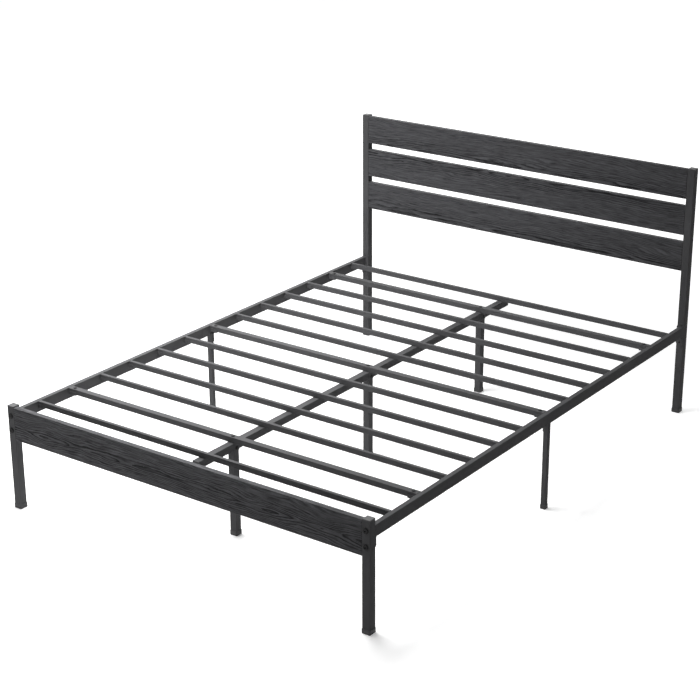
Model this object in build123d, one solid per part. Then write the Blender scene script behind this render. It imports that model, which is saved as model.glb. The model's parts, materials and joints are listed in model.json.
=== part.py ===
from build123d import *
import os

# Bed frame of powder-coated steel tube with wood-look boards at head and foot.
# Millimetres. The origin is on the floor, under the middle of the bed.
# +Y points to the head, -Y to the foot, +Z up. Left and right are as seen from the foot.

# Mattress that the frame carries, and how far the rails stand outside it
mattress_width = 1372.0
mattress_length = 1905.0
side_margin = 14.0

# Square tube of the head posts and foot legs
post_size = 27.2
post_wall = 1.2
tube_corner = 1.5

# Boards: their sizes, the headboard's top and how far the footboard rises above the slats
plank_count = 3
plank_height = 106.0
plank_gap = 25.0
plank_thickness = 18.0
plank_edge = 0.8
headboard_top = 905.0
footboard_rise = 20.0
footboard_height = 111.5
plank_end_clearance = 0.5

# Side rails, each in two halves that meet at a seam a little nearer the foot
rail_width = 17.0
rail_height = 37.0
rail_wall = 1.5
sleeping_height = 334.0

# Seams of the side rails and the centre rail: a spigot in the head half, held by a bolt from below
seam_offset = 48.0
seam_gap = 0.8
spigot_wall = 1.5
spigot_reach = 55.0
spigot_root = 25.0
spigot_clearance = 0.2
seam_bolt_offset = 30.0

# End plates of the side rails and the bolts that hold them
plate_thickness = 4.0
plate_bolt_drop = 11.0
plate_bolt_spacing = 50.0

# Slats and the wider cross bars
slat_count = 13
slat_width = 12.0
cross_bar_width = 22.0
slat_height = 18.5
slat_wall = 1.0
slat_end_margin = 96.9
slat_end_gap = 1.0

# Saddles that hold the ends of slats and cross bars on the side rails
saddle_length = 20.0
cross_bar_saddle_length = 32.0
saddle_base = 2.0
saddle_ear = 1.5
saddle_ear_height = 9.0
saddle_clearance = 0.4
cross_bar_bolt_inset = 19.0

# Centre rail
centre_rail_size = 25.0
centre_rail_wall = 1.2
centre_rail_overhang = 32.0

# Legs along the middle and at mid length of the side rails
centre_leg_size = 24.5
leg_wall = 1.2
fork_plate = 1.5
fork_clearance = 0.2
fork_top_drop = 1.0
fork_bolt_height = 7.0
mid_leg_ear = 2.0
mid_leg_ear_overlap = 26.0
mid_leg_ear_rise = 15.0
mid_leg_bolt_rise = 8.5

# Plastic feet, caps and plugs
foot_height = 15.0
foot_floor = 4.0
foot_side = 1.2
foot_clearance = 0.2
foot_edge = 0.8
cap_flange = 3.0
cap_edge = 1.0
plug_depth = 12.0
plug_clearance = 0.3
slat_plug_flange = 2.5
slat_plug_depth = 9.0

# Tabs welded to the posts behind the boards, and their screws
tab_length = 26.0
tab_height = 64.0
tab_thickness = 2.0
screw_spacing = 40.0
screw_diameter = 4.0
screw_head_diameter = 8.0
screw_head_height = 2.4
screw_reach = 10.0

# Bolts and nuts; a head's rounding and the depth of its socket are shares of its height
rail_bolt_diameter = 8.0
rail_bolt_head_diameter = 18.0
rail_bolt_head_height = 4.6
rail_bolt_socket = 6.0
bolt_diameter = 6.0
bolt_head_diameter = 12.0
bolt_head_height = 2.8
bolt_socket = 4.0
nut_across_flats = 10.0
nut_height = 5.0
hole_clearance = 0.3
thread_clearance = 0.15
thread_spare = 1.0
head_rounding = 0.6
socket_depth = 0.6

# Places worked out from the sizes above
half_width = mattress_width / 2 + side_margin
post_x = half_width - post_size / 2
post_inner_x = half_width - post_size
foot_inner_y = -mattress_length / 2
head_inner_y = mattress_length / 2
foot_face_y = foot_inner_y - post_size
rail_inner_x = half_width - rail_width
rail_x = half_width - rail_width / 2
footboard_top = sleeping_height + footboard_rise
rail_bottom = sleeping_height - rail_height
rail_z = sleeping_height - rail_height / 2
slat_bottom = sleeping_height - slat_height
slat_z = sleeping_height - slat_height / 2
screw_x = post_inner_x - tab_length / 2
bolt_hole = bolt_diameter + 2 * hole_clearance
plate_bolt_top = sleeping_height - plate_bolt_drop
plate_bolt_low = plate_bolt_top - plate_bolt_spacing
slat_pitch = (mattress_length - 2 * slat_end_margin) / (slat_count - 1)
slat_places = [head_inner_y - slat_end_margin - n * slat_pitch for n in range(slat_count)]
cross_bar_places = {"head": slat_places[1], "middle": slat_places[slat_count // 2], "foot": slat_places[-2]}
narrow_places = [y for y in slat_places if y not in cross_bar_places.values()]
slat_half_length = rail_inner_x - slat_end_gap - slat_plug_flange
cross_bar_bolt_x = rail_inner_x - cross_bar_bolt_inset
centre_rail_top = slat_bottom
centre_rail_bottom = centre_rail_top - centre_rail_size
centre_rail_z = centre_rail_top - centre_rail_size / 2
centre_rail_half_length = slat_places[0] + centre_rail_overhang
fork_bolt_z = centre_rail_bottom + fork_bolt_height
fork_half_width = centre_rail_size / 2 + fork_clearance + fork_plate
plank_half_length = post_inner_x - plank_end_clearance
seam_bolt_y = -seam_offset - seam_bolt_offset
mid_leg_bolt_z = rail_bottom + mid_leg_bolt_rise

SIDES = {"left": -1, "right": 1}


def block(x_range, y_range, z_range):
    """A box between two values on each axis, given in either order."""
    spans = [sorted(span) for span in (x_range, y_range, z_range)]
    centre = [(low + high) / 2 for low, high in spans]
    return Pos(*centre) * Box(*[high - low for low, high in spans])


def profile(width, height, wall):
    """Section of a rectangular tube with rounded corners."""
    inner_corner = max(tube_corner - wall, 0.2)
    outer = RectangleRounded(width, height, tube_corner)
    return outer - RectangleRounded(width - 2 * wall, height - 2 * wall, inner_corner)


def tube_up(width, wall, x, y, low, high):
    """A square tube that stands between two heights."""
    return Pos(x, y, low) * extrude(profile(width, width, wall), high - low)


def tube_along_y(width, height, wall, x, z, start, end):
    """A rectangular tube along the bed."""
    section = extrude(profile(width, height, wall), end - start)
    return Pos(x, start, z) * Rot(-90, 0, 0) * section


def tube_along_x(width, height, wall, y, z, half_length):
    """A rectangular tube across the bed, centred on it."""
    section = extrude(profile(height, width, wall), 2 * half_length)
    return Pos(-half_length, y, z) * Rot(0, 90, 0) * section


def hole_x(diameter, x_range, y, z):
    """A round cutter across the bed."""
    low, high = sorted(x_range)
    return Pos((low + high) / 2, y, z) * Rot(0, 90, 0) * Cylinder(diameter / 2, high - low)


def hole_y(diameter, x, y_range, z):
    """A round cutter along the bed."""
    low, high = sorted(y_range)
    return Pos(x, (low + high) / 2, z) * Rot(90, 0, 0) * Cylinder(diameter / 2, high - low)


def hole_z(diameter, x, y, z_range):
    """A round upright cutter."""
    low, high = sorted(z_range)
    return Pos(x, y, (low + high) / 2) * Cylinder(diameter / 2, high - low)


def bolt(diameter, length, head_diameter, head_height, socket):
    """A bolt with a low round head and a hexagon socket, its shank along -Z from the origin."""
    head = extrude(Circle(head_diameter / 2), head_height)
    head = fillet(head.edges().group_by(Axis.Z)[-1], head_height * head_rounding)
    depth = head_height * socket_depth
    recess = extrude(RegularPolygon(socket / 2, 6, major_radius=False), depth)
    shank = Pos(0, 0, -length / 2) * Cylinder(diameter / 2, length)
    return head - Pos(0, 0, head_height - depth) * recess + shank


def nut():
    """A hexagon nut on the floor of the XY plane."""
    body = extrude(RegularPolygon(nut_across_flats / 2, 6, major_radius=False), nut_height)
    return body - hole_z(bolt_diameter + 2 * thread_clearance, 0, 0, (0, nut_height))


def small_bolt(length):
    """One of the smaller bolts of the bed."""
    return bolt(bolt_diameter, length, bolt_head_diameter, bolt_head_height, bolt_socket)


def rail_bolt(length):
    """One of the bolts that hold the rails to the posts."""
    return bolt(rail_bolt_diameter, length, rail_bolt_head_diameter, rail_bolt_head_height, rail_bolt_socket)


def plank_places():
    """Bottom and top of each headboard plank, from the highest down."""
    tops = [headboard_top - n * (plank_height + plank_gap) for n in range(plank_count)]
    return [(top - plank_height, top) for top in tops]


def screw_heights(low, high):
    """Heights of the two screws at each end of a board."""
    middle = (low + high) / 2
    return [middle - screw_spacing / 2, middle + screw_spacing / 2]


def rail_bolt_holes(side, face_y):
    """Clearance holes through a post or leg for its two rail bolts."""
    span = (face_y, face_y + post_size)
    diameter = rail_bolt_diameter + 2 * hole_clearance
    return [hole_y(diameter, side * post_x, span, z) for z in (plate_bolt_top, plate_bolt_low)]


def board_tab(side, front_y, low, high):
    """A tab on a post's inner face that lies against the back of a board."""
    middle = (low + high) / 2
    back = front_y + plank_thickness
    tab = block((side * post_inner_x, side * (post_inner_x - tab_length)), (back, back + tab_thickness),
                (middle - tab_height / 2, middle + tab_height / 2))
    for z in screw_heights(low, high):
        tab -= hole_y(screw_diameter + 2 * hole_clearance, side * screw_x, (back, back + tab_thickness), z)
    return tab


def upright(side, face_y, top, boards):
    """A head post or foot leg with the tabs of its boards."""
    post = tube_up(post_size, post_wall, side * post_x, face_y + post_size / 2, foot_floor, top)
    for low, high in boards:
        post += board_tab(side, face_y, low, high)
    for cutter in rail_bolt_holes(side, face_y):
        post -= cutter
    return post


def board(front_y, low, high):
    """A wood-look board between two uprights, with its screw holes in the back."""
    panel = block((-plank_half_length, plank_half_length), (front_y, front_y + plank_thickness), (low, high))
    panel = chamfer(panel.edges(), plank_edge)
    back = front_y + plank_thickness
    depth = screw_reach + thread_spare
    for side in SIDES.values():
        for z in screw_heights(low, high):
            panel -= hole_y(screw_diameter + 2 * thread_clearance, side * screw_x, (back - depth, back), z)
    return panel


def board_screws(front_y, low, high):
    """The four screws of one board, driven from behind through the tabs."""
    back = front_y + plank_thickness + tab_thickness
    head = extrude(Circle(screw_head_diameter / 2), screw_head_height)
    head = fillet(head.edges().group_by(Axis.Z)[-1], screw_head_height * head_rounding)
    length = screw_reach + tab_thickness
    screw = head + Pos(0, 0, -length / 2) * Cylinder(screw_diameter / 2, length)
    places = [(side * screw_x, z) for side in SIDES.values() for z in screw_heights(low, high)]
    return [Pos(x, back, z) * Rot(-90, 0, 0) * screw for x, z in places]


def saddle(side, y, width, length):
    """A saddle on a rail's inner face that a slat end drops into."""
    x_range = (side * rail_inner_x, side * (rail_inner_x - length))
    inner = width / 2 + saddle_clearance
    outer = inner + saddle_ear
    base = block(x_range, (y - outer, y + outer), (slat_bottom - saddle_base, slat_bottom))
    ear_top = slat_bottom + saddle_ear_height
    for way in (-1, 1):
        base += block(x_range, (y + way * inner, y + way * outer), (slat_bottom, ear_top))
    return base


def cross_bar_saddle(side, y):
    """A longer saddle with the hole for a cross bar's end bolt."""
    body = saddle(side, y, cross_bar_width, cross_bar_saddle_length)
    return body - hole_z(bolt_hole, side * cross_bar_bolt_x, y, (slat_bottom - saddle_base, slat_bottom))


def end_plate(side, near_y, far_y):
    """The plate on a rail's end: round below its lower bolt, with a threaded hole for each bolt."""
    x = side * post_x
    plate = block((x - post_size / 2, x + post_size / 2), (near_y, far_y), (plate_bolt_low, sleeping_height))
    plate += hole_y(post_size, x, (near_y, far_y), plate_bolt_low)
    for z in (plate_bolt_top, plate_bolt_low):
        plate -= hole_y(rail_bolt_diameter + 2 * thread_clearance, x, (near_y, far_y), z)
    return plate


def rail_saddles(side, y_range):
    """Every saddle on the stretch of a side rail between two places along the bed."""
    low, high = y_range
    saddles = [saddle(side, y, slat_width, saddle_length) for y in narrow_places if low < y < high]
    saddles += [cross_bar_saddle(side, y) for y in cross_bar_places.values() if low < y < high]
    return saddles


def seam_bolt_hole(x, low, high):
    """The hole for a seam's bolt in the lower half of a rail."""
    return hole_z(bolt_hole, x, seam_bolt_y, (low, (low + high) / 2))


def side_rail_foot(side):
    """The foot half of a side rail."""
    start = foot_inner_y + plate_thickness
    end = -seam_offset - seam_gap
    rail = tube_along_y(rail_width, rail_height, rail_wall, side * rail_x, rail_z, start, end)
    rail += end_plate(side, foot_inner_y, start)
    for piece in rail_saddles(side, (start, end)):
        rail += piece
    return rail - seam_bolt_hole(side * rail_x, rail_bottom, sleeping_height)


def spigot(width, height, wall, x, z):
    """A tube welded into the head half of a rail that slides into the foot half."""
    seam = -seam_offset
    full = (width - 2 * wall, height - 2 * wall)
    slim = [size - 2 * spigot_clearance for size in full]
    welded = tube_along_y(*full, spigot_wall + spigot_clearance, x, z, seam, seam + spigot_root)
    return welded + tube_along_y(*slim, spigot_wall, x, z, seam - spigot_reach, seam)


def side_rail_head(side):
    """The head half of a side rail, with the spigot of the seam."""
    end = head_inner_y - plate_thickness
    start = -seam_offset
    rail = tube_along_y(rail_width, rail_height, rail_wall, side * rail_x, rail_z, start, end)
    rail += spigot(rail_width, rail_height, rail_wall, side * rail_x, rail_z)
    rail += end_plate(side, end, head_inner_y)
    for piece in rail_saddles(side, (start, end)):
        rail += piece
    rail -= seam_bolt_hole(side * rail_x, rail_bottom, sleeping_height)
    return rail - hole_x(bolt_hole, (side * rail_inner_x, side * rail_x), 0, mid_leg_bolt_z)


def centre_rail_holes():
    """Holes of the centre rail for its fork bolts, cross bar bolts and seam bolt."""
    reach = centre_rail_size / 2
    cutters = []
    for y in cross_bar_places.values():
        cutters.append(hole_x(bolt_hole, (-reach, reach), y, fork_bolt_z))
        cutters.append(hole_z(bolt_hole, 0, y, (centre_rail_z, centre_rail_top)))
    cutters.append(seam_bolt_hole(0, centre_rail_bottom, centre_rail_top))
    return cutters


def centre_rail_half(start, end, with_spigot):
    """One half of the centre rail."""
    rail = tube_along_y(centre_rail_size, centre_rail_size, centre_rail_wall, 0, centre_rail_z, start, end)
    if with_spigot:
        rail += spigot(centre_rail_size, centre_rail_size, centre_rail_wall, 0, centre_rail_z)
    for cutter in centre_rail_holes():
        rail -= cutter
    return rail


def slat(y):
    """A narrow slat of rectangular tube."""
    return tube_along_x(slat_width, slat_height, slat_wall, y, slat_z, slat_half_length)


def cross_bar(y):
    """A wide slat that is bolted to both rails and to the centre rail."""
    bar = tube_along_x(cross_bar_width, slat_height, slat_wall, y, slat_z, slat_half_length)
    for x in (-cross_bar_bolt_x, 0, cross_bar_bolt_x):
        bar -= hole_z(bolt_hole, x, y, (slat_bottom, sleeping_height))
    return bar


def centre_leg(y):
    """A leg under the centre rail, with a fork that holds the rail from both sides."""
    half = centre_leg_size / 2
    base_bottom = centre_rail_bottom - fork_plate
    leg = tube_up(centre_leg_size, leg_wall, 0, y, foot_floor, base_bottom)
    leg += block((-fork_half_width, fork_half_width), (y - half, y + half), (base_bottom, centre_rail_bottom))
    for way in (-1, 1):
        leg += block((way * (fork_half_width - fork_plate), way * fork_half_width), (y - half, y + half),
                     (base_bottom, centre_rail_top - fork_top_drop))
    return leg - hole_x(bolt_hole, (-fork_half_width, fork_half_width), y, fork_bolt_z)


def mid_leg(side):
    """A leg of the rail's width at mid length of a side rail, with an ear against the rail's inner face."""
    half = rail_width / 2
    leg = tube_up(rail_width, leg_wall, side * rail_x, 0, foot_floor, rail_bottom)
    ear_span = (side * rail_inner_x, side * (rail_inner_x - mid_leg_ear))
    leg += block(ear_span, (-half, half), (rail_bottom - mid_leg_ear_overlap, rail_bottom + mid_leg_ear_rise))
    return leg - hole_x(bolt_hole, ear_span, 0, mid_leg_bolt_z)


def foot(size, x, y):
    """A plastic foot that covers the end of a square tube."""
    outer = size + 2 * (foot_side + foot_clearance)
    shell = extrude(RectangleRounded(outer, outer, tube_corner + foot_side), foot_height)
    shell = chamfer(shell.edges().group_by(Axis.Z)[0], foot_edge)
    pocket = extrude(RectangleRounded(size + 2 * foot_clearance, size + 2 * foot_clearance, tube_corner),
                     foot_height - foot_floor)
    return Pos(x, y, 0) * (shell - Pos(0, 0, foot_floor) * pocket)


def plug(width, height, wall, flange, depth, edge):
    """A plug for a tube's end: a flange above the XY plane and a body below it."""
    corner = max(tube_corner - wall, 0.2)
    cap = extrude(RectangleRounded(width, height, tube_corner), flange)
    cap = chamfer(cap.edges().group_by(Axis.Z)[-1], edge)
    gap = 2 * (wall + plug_clearance)
    body = extrude(RectangleRounded(width - gap, height - gap, corner), depth)
    return cap + Pos(0, 0, -depth) * body


def post_caps(face_y, top):
    """Caps on a pair of uprights."""
    cap = plug(post_size, post_size, post_wall, cap_flange, plug_depth, cap_edge)
    return [Pos(side * post_x, face_y + post_size / 2, top) * cap for side in SIDES.values()]


def slat_plugs(width, places):
    """Plugs in both ends of the slats at the given places."""
    cap = plug(slat_height, width, slat_wall, slat_plug_flange, slat_plug_depth, slat_wall / 2)
    return [Pos(side * slat_half_length, y, slat_z) * Rot(0, side * 90, 0) * cap
            for y in places for side in SIDES.values()]


def centre_rail_plugs():
    """Plugs in both ends of the centre rail."""
    cap = plug(centre_rail_size, centre_rail_size, centre_rail_wall, cap_flange, plug_depth, cap_edge)
    ends = {1: centre_rail_half_length, -1: -centre_rail_half_length}
    return [Pos(0, y, centre_rail_z) * Rot(-90 * way, 0, 0) * cap for way, y in ends.items()]


def rail_bolts(face_y, outward):
    """Bolts of both rails through a pair of uprights, with their heads on the given face."""
    piece = rail_bolt(post_size + plate_thickness)
    return [Pos(side * post_x, face_y, z) * Rot(-90 * outward, 0, 0) * piece
            for side in SIDES.values() for z in (plate_bolt_top, plate_bolt_low)]


def cross_bar_end_bolts():
    """Bolts through the ends of the cross bars and their saddles."""
    piece = small_bolt(slat_height + saddle_base + nut_height + thread_spare)
    return [Pos(side * cross_bar_bolt_x, y, sleeping_height) * piece
            for y in cross_bar_places.values() for side in SIDES.values()]


def cross_bar_end_nuts():
    """Nuts under the saddles of the cross bars."""
    z = slat_bottom - saddle_base - nut_height
    return [Pos(side * cross_bar_bolt_x, y, z) * nut()
            for y in cross_bar_places.values() for side in SIDES.values()]


def cross_bar_centre_bolts():
    """Bolts from the cross bars down into the centre rail."""
    piece = small_bolt(slat_height + centre_rail_wall + nut_height)
    return [Pos(0, y, sleeping_height) * piece for y in cross_bar_places.values()]


def seam_nut(x, floor):
    """The nut inside a spigot, with two flats towards its side walls."""
    return Pos(x, seam_bolt_y, floor + spigot_clearance + spigot_wall) * Rot(0, 0, 30) * nut()


def seam_bolt(x, bottom, wall):
    """The bolt of a seam, driven up from below."""
    piece = small_bolt(wall + spigot_clearance + spigot_wall + nut_height)
    return Pos(x, seam_bolt_y, bottom) * Rot(180, 0, 0) * piece


def weld_nuts():
    """Nuts welded inside the centre rail, the side rails and the spigots."""
    z = centre_rail_top - centre_rail_wall - nut_height
    nuts = [Pos(0, y, z) * nut() for y in cross_bar_places.values()]
    for side in SIDES.values():
        nuts.append(Pos(side * (rail_inner_x + rail_wall), 0, mid_leg_bolt_z) * Rot(0, 90 * side, 0) * nut())
        nuts.append(seam_nut(side * rail_x, rail_bottom + rail_wall))
    nuts.append(seam_nut(0, centre_rail_bottom + centre_rail_wall))
    return nuts


def seam_bolts():
    """Bolts that lock the seams of the side rails and of the centre rail."""
    bolts = [seam_bolt(side * rail_x, rail_bottom, rail_wall) for side in SIDES.values()]
    return bolts + [seam_bolt(0, centre_rail_bottom, centre_rail_wall)]


def mid_leg_bolts():
    """Bolts through the ears of the mid legs into the side rails."""
    piece = small_bolt(mid_leg_ear + rail_wall + nut_height)
    x = rail_inner_x - mid_leg_ear
    return [Pos(side * x, 0, mid_leg_bolt_z) * Rot(0, -90 * side, 0) * piece for side in SIDES.values()]


def fork_bolts():
    """Bolts across the forks of the centre legs."""
    piece = small_bolt(2 * fork_half_width + nut_height + thread_spare)
    return [Pos(fork_half_width, y, fork_bolt_z) * Rot(0, 90, 0) * piece for y in cross_bar_places.values()]


def fork_nuts():
    """Nuts on the far side of the forks."""
    return [Pos(-fork_half_width, y, fork_bolt_z) * Rot(0, -90, 0) * nut() for y in cross_bar_places.values()]


def headboard():
    """Posts, planks and screws of the head end."""
    places = plank_places()
    nodes = {f"headboard_post_{name}": upright(side, head_inner_y, headboard_top, places)
             for name, side in SIDES.items()}
    for number, (low, high) in enumerate(places, 1):
        nodes[f"headboard_plank_{number}"] = board(head_inner_y, low, high)
    nodes["headboard_screws"] = sum((board_screws(head_inner_y, *place) for place in places), [])
    return nodes


def footboard():
    """Legs, board and screws of the foot end."""
    place = (footboard_top - footboard_height, footboard_top)
    nodes = {f"foot_leg_{name}": upright(side, foot_face_y, footboard_top, [place])
             for name, side in SIDES.items()}
    nodes["footboard_plank"] = board(foot_face_y, *place)
    nodes["footboard_screws"] = board_screws(foot_face_y, *place)
    return nodes


def rails():
    """Side rails in two halves each, and the centre rail."""
    nodes = {}
    for name, side in SIDES.items():
        nodes[f"side_rail_{name}_foot"] = side_rail_foot(side)
        nodes[f"side_rail_{name}_head"] = side_rail_head(side)
    nodes["centre_rail_foot"] = centre_rail_half(-centre_rail_half_length, -seam_offset - seam_gap, False)
    nodes["centre_rail_head"] = centre_rail_half(-seam_offset, centre_rail_half_length, True)
    return nodes


def platform():
    """Slats and cross bars."""
    nodes = {f"slat_{number:02d}": slat(y) for number, y in enumerate(narrow_places, 1)}
    nodes.update({f"cross_bar_{name}": cross_bar(y) for name, y in cross_bar_places.items()})
    return nodes


def legs():
    """Legs between the ends of the bed."""
    nodes = {f"centre_leg_{name}": centre_leg(y) for name, y in cross_bar_places.items()}
    nodes.update({f"mid_leg_{name}": mid_leg(side) for name, side in SIDES.items()})
    return nodes


def plastic_pieces():
    """Feet, caps and plugs."""
    ends = (foot_face_y + post_size / 2, head_inner_y + post_size / 2)
    return {
        "corner_feet": [foot(post_size, side * post_x, y) for side in SIDES.values() for y in ends],
        "mid_leg_feet": [foot(rail_width, side * rail_x, 0) for side in SIDES.values()],
        "centre_leg_feet": [foot(centre_leg_size, 0, y) for y in cross_bar_places.values()],
        "headboard_post_caps": post_caps(head_inner_y, headboard_top),
        "foot_leg_caps": post_caps(foot_face_y, footboard_top),
        "slat_plugs": slat_plugs(slat_width, narrow_places),
        "cross_bar_plugs": slat_plugs(cross_bar_width, cross_bar_places.values()),
        "centre_rail_plugs": centre_rail_plugs(),
    }


def fasteners():
    """Bolts and nuts, each kind as one group."""
    return {
        "foot_rail_bolts": rail_bolts(foot_face_y, -1),
        "head_rail_bolts": rail_bolts(head_inner_y + post_size, 1),
        "cross_bar_end_bolts": cross_bar_end_bolts(),
        "cross_bar_end_nuts": cross_bar_end_nuts(),
        "cross_bar_centre_bolts": cross_bar_centre_bolts(),
        "weld_nuts": weld_nuts(),
        "seam_bolts": seam_bolts(),
        "mid_leg_bolts": mid_leg_bolts(),
        "fork_bolts": fork_bolts(),
        "fork_nuts": fork_nuts(),
    }


def save(nodes):
    """Writes each node, a solid or a group of solids, to its own file."""
    os.makedirs("parts", exist_ok=True)
    for name, piece in nodes.items():
        shape = Compound(children=piece) if isinstance(piece, list) else piece
        export_step(shape, f"parts/{name}.step")


for group in (headboard, footboard, rails, platform, legs, plastic_pieces, fasteners):
    save(group())
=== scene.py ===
import json
import math

import bmesh
import bpy
from mathutils import Matrix, Vector


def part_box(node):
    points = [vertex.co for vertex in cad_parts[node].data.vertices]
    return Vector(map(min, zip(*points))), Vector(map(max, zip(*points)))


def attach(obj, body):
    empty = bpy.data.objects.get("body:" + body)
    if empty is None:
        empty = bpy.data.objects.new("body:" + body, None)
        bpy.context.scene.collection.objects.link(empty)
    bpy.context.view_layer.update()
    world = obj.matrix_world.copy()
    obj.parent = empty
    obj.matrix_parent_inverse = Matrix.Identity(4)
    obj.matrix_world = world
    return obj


# Looks of the bed frame: powder-coated steel, black oak boards, moulded plastic and black bolts.
# Metres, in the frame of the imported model: +Y to the head, +Z up, the floor at Z = 0.

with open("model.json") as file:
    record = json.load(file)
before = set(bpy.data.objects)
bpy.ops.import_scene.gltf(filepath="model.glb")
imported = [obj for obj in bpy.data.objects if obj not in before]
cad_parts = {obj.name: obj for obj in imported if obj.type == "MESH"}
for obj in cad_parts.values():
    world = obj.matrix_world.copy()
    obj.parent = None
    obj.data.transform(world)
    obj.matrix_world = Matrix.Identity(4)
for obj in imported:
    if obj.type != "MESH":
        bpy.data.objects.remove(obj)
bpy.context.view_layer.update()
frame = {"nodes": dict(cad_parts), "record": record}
nodes = frame["nodes"]

# Camera, as found from the photograph. Angles in degrees, lens and sensor in millimetres.
CAMERA_PLACE = (3.193, -4.508, 2.529)
CAMERA_AZIMUTH = 35.935
CAMERA_DOWN = 21.166
CAMERA_ROLL = -0.24
CAMERA_LENS = 91.05
CAMERA_SENSOR = 36.0
CAMERA_REACH = 200.0

# Colours, as linear red, green and blue
STEEL = (0.070, 0.070, 0.0725)
STEEL_WORN = (0.13, 0.13, 0.133)
STEEL_BARE = (0.16, 0.16, 0.165)
BLACKENED = (0.015, 0.015, 0.0156)
# Near-black painted shade, laid into the sockets and corners of the bolts
SOCKET_PAINTED_SHADE = (0.002, 0.002, 0.002)
OAK_DARK = (0.010, 0.010, 0.0107)
OAK_LIGHT = (0.100, 0.100, 0.106)
PLASTIC = (0.045, 0.045, 0.0465)
FLOOR = (0.9, 0.9, 0.9)
WHITE = (1.0, 1.0, 1.0)

# Half the width of the floor, and the light that the surroundings throw on the bed
FLOOR_REACH = 40.0
WORLD_LIGHT = 0.04

# The floor shines where the lamps don't reach, so that it looks white all over: the middle of the
# lamps' pool of light, the distances where the pool starts and ends to fade, and the shine at both
POOL_MIDDLE = (-0.8, -0.8, 0.0)
POOL_REACH = (0.4, 4.2)
POOL_SHINE = (0.2, 0.97)

# Index of refraction of the matt coats, low because they mirror very little
COAT_IOR = 1.1

# Growth rings of the boards: width of a ring, roundness of the arches at the heart line, how far the
# rings sway and how ragged they are
RING_WIDTH = 0.007
RING_ROUND = 0.004
RING_SWAY = 0.075
RING_RAGGED = 0.006

# Ragged waves along an arch, and waves per metre across a board of the ragged edges and of the sway
WAVES_PER_ARCH = 3.5
RAGGED_ACROSS = 70.0
SWAY_ACROSS = 10.0

# Waves per metre along the grain, from one side of the heart to the other, and across the rings
FIBRES = (15.0, 1.0, 260.0)
STREAKS = (2.5, 1.0, 60.0)
PORES = (18.0, 1.0, 420.0)

# The grain on both sides of the heart line differs: half the width of the change, and its size
HEART_BLEND = 0.002
HEART_STEP = 5.0

# Middle and span of the grain's tones, before they are stretched from dark to light
TONE_MIDDLE = 0.325
TONE_SPAN = 1.45

# Height of the heart line above each board's middle, the length of its arches, and its contrast
BOARDS = {"footboard_plank": (-0.010, 0.33, 1.2), "headboard_plank_1": (-0.048, 0.52, 1.0),
          "headboard_plank_2": (0.044, 0.52, 1.0), "headboard_plank_3": (-0.044, 0.52, 1.0)}

# How much further along the tree each next board is cut
BOARD_SHIFT = 3.7

# Where steel is welded to steel, repeated from the part: rail size, end plate, saddles, tabs and ears
RAIL_WIDTH = 0.017
RAIL_HEIGHT = 0.037
PLATE_THICKNESS = 0.004
SADDLE_BASE = 0.002
SADDLE_SIDE = 0.0019
TAB_THICKNESS = 0.002
TAB_HEIGHT = 0.064
BOARD_END_GAP = 0.0005
EAR_OVERLAP = 0.026

# Weld beads: their size, the share of it left at the ends, how deep they sink into the steel, the
# length and height of a ripple, and the points round a bead and along a ripple
BEAD_SIZE = 0.003
BEAD_TAPER = 0.7
BEAD_SINK = 0.0003
RIPPLE_LENGTH = 0.0024
RIPPLE_SWELL = 0.16
BEAD_POINTS = 6
RIPPLE_POINTS = 4


def add(tree, kind, inputs=None, **settings):
    """Adds a shader node. Each input is a plain value or another node's output."""
    made = tree.nodes.new(kind)
    for key, value in settings.items():
        setattr(made, key, value)
    for key, value in (inputs or {}).items():
        if isinstance(value, bpy.types.NodeSocket):
            tree.links.new(value, made.inputs[key])
        else:
            made.inputs[key].default_value = value
    return made


def surface(name, roughness, ior):
    """A new material with a principled shader, and the coordinates of the bed's frame."""
    material = bpy.data.materials.new(name)
    material.use_nodes = True
    tree = material.node_tree
    tree.nodes.clear()
    shader = add(tree, "ShaderNodeBsdfPrincipled", {"Roughness": roughness, "IOR": ior})
    output = add(tree, "ShaderNodeOutputMaterial")
    tree.links.new(shader.outputs["BSDF"], output.inputs["Surface"])
    place = add(tree, "ShaderNodeTexCoord").outputs["Object"]
    return material, tree, shader, place


def noise(tree, place, scale, detail=2.0, roughness=0.5):
    """Cloudy noise between 0 and 1."""
    made = add(tree, "ShaderNodeTexNoise",
               {"Vector": place, "Scale": scale, "Detail": detail, "Roughness": roughness})
    return made.outputs["Fac"]


def stretch(tree, place, scale):
    """Coordinates scaled along each axis."""
    return add(tree, "ShaderNodeMapping", {"Vector": place, "Scale": scale}).outputs["Vector"]


def math_node(tree, operation, first, second=0.0):
    """One step of arithmetic on two values."""
    made = add(tree, "ShaderNodeMath", operation=operation)
    for slot, value in zip(made.inputs, (first, second)):
        if isinstance(value, bpy.types.NodeSocket):
            tree.links.new(value, slot)
        else:
            slot.default_value = value
    return made.outputs[0]


def remap(tree, value, low, high, out_low, out_high):
    """Stretches the span from low to high over a new span, and clamps it."""
    made = add(tree, "ShaderNodeMapRange", {"Value": value, "From Min": low, "From Max": high,
                                            "To Min": out_low, "To Max": out_high})
    return made.outputs["Result"]


def shade(colour, factor):
    """A colour made darker or lighter."""
    return [value * factor for value in colour]


def blend_colours(tree, share, first, second):
    """Mixes two colours by a share between 0 and 1."""
    made = add(tree, "ShaderNodeMix", data_type="RGBA")
    tree.links.new(share, made.inputs["Factor"])
    for slot, colour in (("A", first), ("B", second)):
        socket = [s for s in made.inputs if s.name == slot and s.type == "RGBA"][0]
        if isinstance(colour, bpy.types.NodeSocket):
            tree.links.new(colour, socket)
        else:
            socket.default_value = (*colour, 1.0)
    return [s for s in made.outputs if s.type == "RGBA"][0]


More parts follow.
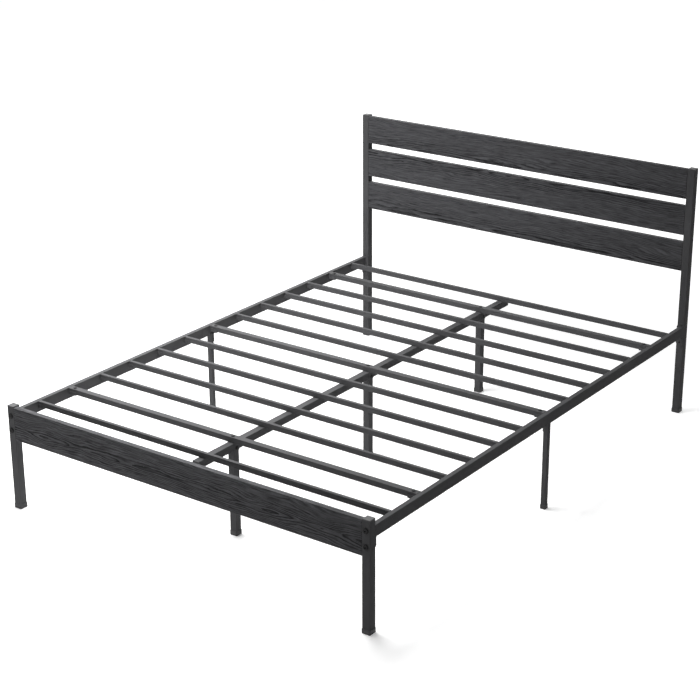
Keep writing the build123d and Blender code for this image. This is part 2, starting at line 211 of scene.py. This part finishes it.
def edge_mask(tree, radius):
    """1 on the edges of a piece and 0 on its flat faces."""
    rounded = add(tree, "ShaderNodeBevel", {"Radius": radius}, samples=4).outputs["Normal"]
    true_normal = add(tree, "ShaderNodeNewGeometry").outputs["Normal"]
    likeness = add(tree, "ShaderNodeVectorMath", {0: rounded, 1: true_normal}, operation="DOT_PRODUCT")
    return remap(tree, likeness.outputs["Value"], 0.99, 0.86, 0.0, 1.0)


def recess_painted_shade_mask(tree, distance):
    """1 deep in a socket or a corner and 0 on open faces: where shade is painted."""
    made = add(tree, "ShaderNodeAmbientOcclusion", {"Distance": distance}, samples=8, only_local=True)
    return remap(tree, made.outputs["AO"], 0.75, 0.35, 0.0, 1.0)


def bump(tree, shader, height, strength, distance):
    """Gives a shader fine relief from a height."""
    made = add(tree, "ShaderNodeBump", {"Height": height, "Strength": strength, "Distance": distance})
    tree.links.new(made.outputs["Normal"], shader.inputs["Normal"])


def powder_coat():
    """Satin black powder coat: orange-peel relief, faint cloudiness and rubbed edges."""
    material, tree, shader, place = surface("powder_coat", 0.5, COAT_IOR)
    cloud = noise(tree, place, 7.0, 3.0)
    speckle = math_node(tree, "MULTIPLY", noise(tree, place, 1400.0, 1.0), 0.5)
    tone = remap(tree, math_node(tree, "ADD", cloud, speckle), 0.45, 1.05, 0.0, 1.0)
    coat = blend_colours(tree, tone, shade(STEEL, 0.86), shade(STEEL, 1.14))
    wear = remap(tree, noise(tree, place, 55.0, 3.0), 0.42, 0.7, 0.1, 0.7)
    rubbed = math_node(tree, "MULTIPLY", edge_mask(tree, 0.0012), wear)
    tree.links.new(blend_colours(tree, rubbed, coat, STEEL_WORN), shader.inputs["Base Color"])
    tree.links.new(remap(tree, cloud, 0.3, 0.7, 0.44, 0.56), shader.inputs["Roughness"])
    bump(tree, shader, noise(tree, place, 620.0, 2.0), 0.25, 0.0002)
    return material


def grain_flow(tree, place, shift, heart, arch):
    """Coordinates along the grain: X runs along the board, Z counts outward from the heart line.

    The foil is wrapped over the board's edges, so its height goes on there along Y. The rings sway as
    they run, so near the heart they close into long thin arches.
    """
    parts = add(tree, "ShaderNodeSeparateXYZ", {"Vector": place}).outputs
    along = math_node(tree, "ADD", parts["X"], shift)
    wrapped = math_node(tree, "SUBTRACT", math_node(tree, "ADD", parts["Y"], parts["Z"]), heart)
    moved = add(tree, "ShaderNodeCombineXYZ", {"X": along, "Z": wrapped}).outputs["Vector"]
    rags = noise(tree, stretch(tree, moved, (WAVES_PER_ARCH / arch, 0.0, RAGGED_ACROSS)), 1.0, 4.0, 0.7)
    height = math_node(tree, "ADD", wrapped, remap(tree, rags, 0.0, 1.0, -RING_RAGGED, RING_RAGGED))
    squares = math_node(tree, "ADD", math_node(tree, "MULTIPLY", height, height), RING_ROUND ** 2)
    waves = noise(tree, stretch(tree, moved, (1.0 / arch, 0.0, SWAY_ACROSS)), 1.0, 2.0)
    sway = remap(tree, waves, 0.0, 1.0, 0.0, RING_SWAY)
    radius = math_node(tree, "ADD", math_node(tree, "SQRT", squares), sway)
    side = remap(tree, wrapped, -HEART_BLEND, HEART_BLEND, 0.0, HEART_STEP)
    flow = add(tree, "ShaderNodeCombineXYZ", {"X": along, "Y": side, "Z": radius}).outputs["Vector"]
    return flow, radius, math_node(tree, "ABSOLUTE", wrapped)


def black_oak(name, shift, heart, arch, contrast):
    """Black oak foil: rings cut into long arches at the heart line, fine fibres, and pores along the rings.

    The grain runs along X. The heart is the sum of Y and Z at which the arches meet on the board's front,
    arch is how long they are, and shift picks another stretch of the tree.
    """
    material, tree, shader, place = surface(name, 0.5, COAT_IOR)
    flow, radius, off_heart = grain_flow(tree, place, shift, heart, arch)
    ring = math_node(tree, "FRACT", math_node(tree, "DIVIDE", radius, RING_WIDTH))
    near_heart = remap(tree, off_heart, 0.01, 0.045, 0.85, 0.35)
    fibre = noise(tree, stretch(tree, flow, FIBRES), 1.0, 3.0, 0.6)
    streak = noise(tree, stretch(tree, flow, STREAKS), 1.0, 3.0, 0.6)
    specks = noise(tree, stretch(tree, flow, PORES), 1.0, 2.0)
    late_wood = math_node(tree, "MULTIPLY", remap(tree, ring, 0.4, 0.9, 0.0, 1.0), near_heart)
    pores = math_node(tree, "MULTIPLY", remap(tree, specks, 0.5, 0.66, 0.0, 1.0),
                      remap(tree, ring, 0.1, 0.6, 1.0, 0.3))
    pale = math_node(tree, "ADD", remap(tree, fibre, 0.25, 0.75, 0.0, 0.9),
                     remap(tree, streak, 0.25, 0.75, 0.0, 0.35))
    dark = math_node(tree, "ADD", late_wood, math_node(tree, "MULTIPLY", pores, 0.7))
    mixed = math_node(tree, "SUBTRACT", pale, dark)
    reach = TONE_SPAN / 2 / contrast
    tone = remap(tree, mixed, TONE_MIDDLE - reach, TONE_MIDDLE + reach, 0.0, 1.0)
    wood = blend_colours(tree, tone, OAK_DARK, OAK_LIGHT)
    rubbed = math_node(tree, "MULTIPLY", edge_mask(tree, 0.0015), 0.35)
    tree.links.new(blend_colours(tree, rubbed, wood, STEEL_WORN), shader.inputs["Base Color"])
    tree.links.new(remap(tree, dark, 0.0, 0.8, 0.44, 0.6), shader.inputs["Roughness"])
    bump(tree, shader, tone, 0.35, 0.0004)
    return material


def moulded_plastic():
    """Matt black plastic with a fine spark-eroded grain."""
    material, tree, shader, place = surface("moulded_plastic", 0.55, 1.35)
    grain = noise(tree, place, 900.0, 2.0)
    speckle = remap(tree, grain, 0.3, 0.7, 0.0, 1.0)
    tone = blend_colours(tree, speckle, shade(PLASTIC, 0.85), shade(PLASTIC, 1.2))
    wear = remap(tree, noise(tree, place, 120.0), 0.4, 0.7, 0.0, 0.6)
    scuffed = math_node(tree, "MULTIPLY", edge_mask(tree, 0.001), wear)
    tree.links.new(blend_colours(tree, scuffed, tone, STEEL_WORN), shader.inputs["Base Color"])
    bump(tree, shader, grain, 0.3, 0.00015)
    return material


def blackened_steel():
    """Black oxide on bolts, screws and nuts, with bare metal on the edges of the heads and painted shade,
    near black, in the sockets.
    """
    material, tree, shader, place = surface("blackened_steel", 0.42, 1.2)
    cloud = noise(tree, place, 320.0, 3.0)
    blotches = remap(tree, cloud, 0.3, 0.7, 0.0, 1.0)
    tone = blend_colours(tree, blotches, shade(BLACKENED, 0.7), shade(BLACKENED, 1.4))
    wear = remap(tree, noise(tree, place, 400.0), 0.4, 0.65, 0.1, 0.8)
    rubbed = math_node(tree, "MULTIPLY", edge_mask(tree, 0.0006), wear)
    bare = blend_colours(tree, rubbed, tone, STEEL_BARE)
    # Painted shade: ambient occlusion darkens sockets and corners to near black
    with_painted_shade = blend_colours(tree, recess_painted_shade_mask(tree, 0.004), bare, SOCKET_PAINTED_SHADE)
    tree.links.new(with_painted_shade, shader.inputs["Base Color"])
    tree.links.new(remap(tree, cloud, 0.3, 0.7, 0.3, 0.46), shader.inputs["Roughness"])
    bump(tree, shader, cloud, 0.1, 0.0001)
    return material


def add_bead(build, start, end, first_face, second_face):
    """Adds one rippled bead from start to end in the corner of two faces, given by their normals."""
    start, end, first, second = (Vector(value) for value in (start, end, first_face, second_face))
    start, end = (place - (first + second) * BEAD_SINK for place in (start, end))
    steps = round((end - start).length / RIPPLE_LENGTH) * RIPPLE_POINTS
    angles = [math.pi / 2 * n / (BEAD_POINTS - 1) for n in range(BEAD_POINTS)]
    rows = []
    for step in range(steps + 1):
        swell = 1.0 - RIPPLE_SWELL * (step % RIPPLE_POINTS) / RIPPLE_POINTS
        size = BEAD_SIZE * swell * (BEAD_TAPER if step in (0, steps) else 1.0)
        middle = start.lerp(end, step / steps)
        arc = [middle + (first * math.cos(a) + second * math.sin(a)) * size for a in angles]
        rows.append([build.verts.new(point) for point in (middle, *arc)])
    for row, after in zip(rows, rows[1:]):
        for n in range(len(row)):
            near = (n + 1) % len(row)
            face = build.faces.new((row[n], row[near], after[near], after[n]))
            face.smooth = 0 < n < BEAD_POINTS
    build.faces.new(rows[0])
    build.faces.new(rows[-1])


def add_welds(name, beads, material):
    """One piece with all the weld beads of a kind."""
    build = bmesh.new()
    for bead in beads:
        add_bead(build, *bead)
    bmesh.ops.recalc_face_normals(build, faces=build.faces)
    mesh = bpy.data.meshes.new(name)
    build.to_mesh(mesh)
    build.free()
    mesh.materials.append(material)
    piece = bpy.data.objects.new(name, mesh)
    bpy.context.scene.collection.objects.link(piece)
    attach(piece, "root")


def half_width():
    """Half the width over the side rails."""
    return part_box("side_rail_right_head")[1][0]


def saddle_beads():
    """Beads under the saddles, along the inner faces of the side rails."""
    edge = half_width() - RAIL_WIDTH
    for name in nodes:
        if name.startswith(("slat_0", "slat_1", "cross_bar_head", "cross_bar_middle", "cross_bar_foot")):
            low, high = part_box(name)
            z = low[2] - SADDLE_BASE
            for side in (-1, 1):
                yield ((side * edge, low[1] - SADDLE_SIDE, z), (side * edge, high[1] + SADDLE_SIDE, z),
                       (-side, 0, 0), (0, 0, -1))


def plate_beads():
    """Beads where the side rails meet their end plates, on the inner face and underneath."""
    edge = half_width()
    for name, way in (("foot", 1), ("head", -1)):
        for side_name, side in (("left", -1), ("right", 1)):
            low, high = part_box(f"side_rail_{side_name}_{name}")
            y = (low if way > 0 else high)[1] + way * PLATE_THICKNESS
            inner, bottom = side * (edge - RAIL_WIDTH), high[2] - RAIL_HEIGHT
            yield (inner, y, bottom), (inner, y, high[2]), (-side, 0, 0), (0, way, 0)
            yield (inner, y, bottom), (side * edge, y, bottom), (0, 0, -1), (0, way, 0)


def tab_beads():
    """Beads that hold the tabs behind the boards to the posts."""
    for name in BOARDS:
        low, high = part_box(name)
        y, middle = high[1] + TAB_THICKNESS, (low[2] + high[2]) / 2
        for side in (-1, 1):
            x = side * (high[0] + BOARD_END_GAP)
            yield ((x, y, middle - TAB_HEIGHT / 2), (x, y, middle + TAB_HEIGHT / 2),
                   (-side, 0, 0), (0, 1, 0))


def ear_beads():
    """Beads under the ears of the two legs at mid length."""
    edge = half_width() - RAIL_WIDTH
    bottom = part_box("side_rail_left_head")[1][2] - RAIL_HEIGHT - EAR_OVERLAP
    for side in (-1, 1):
        yield ((side * edge, -RAIL_WIDTH / 2, bottom), (side * edge, RAIL_WIDTH / 2, bottom),
               (-side, 0, 0), (0, 0, -1))


def dress_nodes():
    """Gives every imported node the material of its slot, and each board one of its own."""
    slots = {entry["node"]: entry["material_slot"] for entry in frame["record"]["subparts"]}
    materials = {"frame": powder_coat(), "plastic": moulded_plastic(), "hardware": blackened_steel()}
    for number, (name, (rise, arch, contrast)) in enumerate(BOARDS.items()):
        low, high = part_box(name)
        heart = (low[2] + high[2]) / 2 + rise + low[1]
        material_name = f"black_oak_{number + 1}"
        materials[name] = black_oak(material_name, BOARD_SHIFT * number, heart, arch, contrast)
    for name, piece in nodes.items():
        piece.data.materials.clear()
        piece.data.materials.append(materials.get(name) or materials[slots[name]])
    return materials


def make_camera():
    """The camera of the photograph."""
    turn, down = math.radians(CAMERA_AZIMUTH), math.radians(CAMERA_DOWN)
    ahead = Vector((-math.sin(turn) * math.cos(down), math.cos(turn) * math.cos(down), -math.sin(down)))
    data = bpy.data.cameras.new("camera")
    data.sensor_width = CAMERA_SENSOR
    data.lens = CAMERA_LENS
    data.clip_end = CAMERA_REACH
    camera = bpy.data.objects.new("camera", data)
    bpy.context.scene.collection.objects.link(camera)
    aim = ahead.to_track_quat("-Z", "Y").to_matrix().to_4x4()
    roll = Matrix.Rotation(math.radians(CAMERA_ROLL), 4, "Z")
    camera.matrix_world = Matrix.Translation(CAMERA_PLACE) @ aim @ roll
    bpy.context.scene.camera = camera


def seen_directly(tree):
    """1 for what the camera sees, straight or in a reflection, and 0 for light that only falls on things."""
    rays = add(tree, "ShaderNodeLightPath").outputs
    mirrored = math_node(tree, "MAXIMUM", rays["Is Glossy Ray"], rays["Is Transmission Ray"])
    return math_node(tree, "MAXIMUM", rays["Is Camera Ray"], mirrored)


def pale_floor():
    """A matt material that shines white, but only to the eye, where the lamps don't reach."""
    material = bpy.data.materials.new("pale_floor")
    material.use_nodes = True
    tree = material.node_tree
    tree.nodes.clear()
    matt = add(tree, "ShaderNodeBsdfDiffuse", {"Color": (*FLOOR, 1.0)})
    place = add(tree, "ShaderNodeTexCoord").outputs["Object"]
    away = add(tree, "ShaderNodeVectorMath", {0: place, 1: POOL_MIDDLE}, operation="DISTANCE")
    shine = add(tree, "ShaderNodeMapRange",
                {"Value": away.outputs["Value"], "From Min": POOL_REACH[0], "From Max": POOL_REACH[1],
                 "To Min": POOL_SHINE[0], "To Max": POOL_SHINE[1]}, interpolation_type="SMOOTHSTEP")
    strength = math_node(tree, "MULTIPLY", seen_directly(tree), shine.outputs["Result"])
    glow = add(tree, "ShaderNodeEmission", {"Strength": strength})
    both = add(tree, "ShaderNodeAddShader", {0: matt.outputs[0], 1: glow.outputs[0]})
    output = add(tree, "ShaderNodeOutputMaterial")
    tree.links.new(both.outputs[0], output.inputs["Surface"])
    return material


def make_floor():
    """A wide pale floor that keeps the soft shadow of the bed."""
    mesh = bpy.data.meshes.new("floor")
    corners = [(x * FLOOR_REACH, y * FLOOR_REACH, 0) for x, y in ((-1, -1), (1, -1), (1, 1), (-1, 1))]
    mesh.from_pydata(corners, [], [(0, 1, 2, 3)])
    floor = bpy.data.objects.new("floor", mesh)
    bpy.context.scene.collection.objects.link(floor)
    mesh.materials.append(pale_floor())


def make_world():
    """Soft light from all round, on a white background."""
    world = bpy.data.worlds.new("studio")
    bpy.context.scene.world = world
    world.use_nodes = True
    tree = world.node_tree
    tree.nodes.clear()
    strength = remap(tree, seen_directly(tree), 0.0, 1.0, WORLD_LIGHT, 1.0)
    back = add(tree, "ShaderNodeBackground", {"Color": (*WHITE, 1.0), "Strength": strength})
    output = add(tree, "ShaderNodeOutputWorld")
    tree.links.new(back.outputs[0], output.inputs["Surface"])


def softbox(name, place, aim, size, power, spread=180.0):
    """A rectangular studio lamp that points at a place and isn't itself in the picture."""
    data = bpy.data.lights.new(name, "AREA")
    data.shape = "RECTANGLE"
    data.size, data.size_y = size
    data.energy = power
    data.spread = math.radians(spread)
    lamp = bpy.data.objects.new(name, data)
    bpy.context.scene.collection.objects.link(lamp)
    lamp.location = place
    lamp.rotation_euler = (Vector(aim) - Vector(place)).to_track_quat("-Z", "Y").to_euler()
    lamp.visible_camera = False


def make_lights():
    """A pool of light over the left half, softer lamps in front, and a wide one along the slats."""
    softbox("pool", (-0.7, -0.4, 2.4), aim=(-0.7, -0.4, 0.0), size=(1.4, 1.4), power=30.0, spread=100.0)
    softbox("overhead", (-0.8, -0.6, 2.2), aim=(-0.8, -0.6, 0.0), size=(1.6, 1.6), power=32.0)
    softbox("front", (-1.0, -2.4, 3.0), aim=(-0.5, 0.2, 0.0), size=(2.4, 2.4), power=20.0)
    softbox("right", (1.5, -4.5, 2.5), aim=(0.0, 0.0, 0.3), size=(2.0, 2.0), power=18.0)
    softbox("back", (-5.0, 4.4, 3.0), aim=(0.0, 0.0, 0.3), size=(7.0, 4.4), power=290.0)


bpy.context.scene.view_settings.view_transform = "Standard"
materials = dress_nodes()
add_welds("saddle_welds", saddle_beads(), materials["frame"])
add_welds("plate_welds", plate_beads(), materials["frame"])
add_welds("tab_welds", tab_beads(), materials["frame"])
add_welds("ear_welds", ear_beads(), materials["frame"])
make_camera()
make_floor()
make_world()
make_lights()
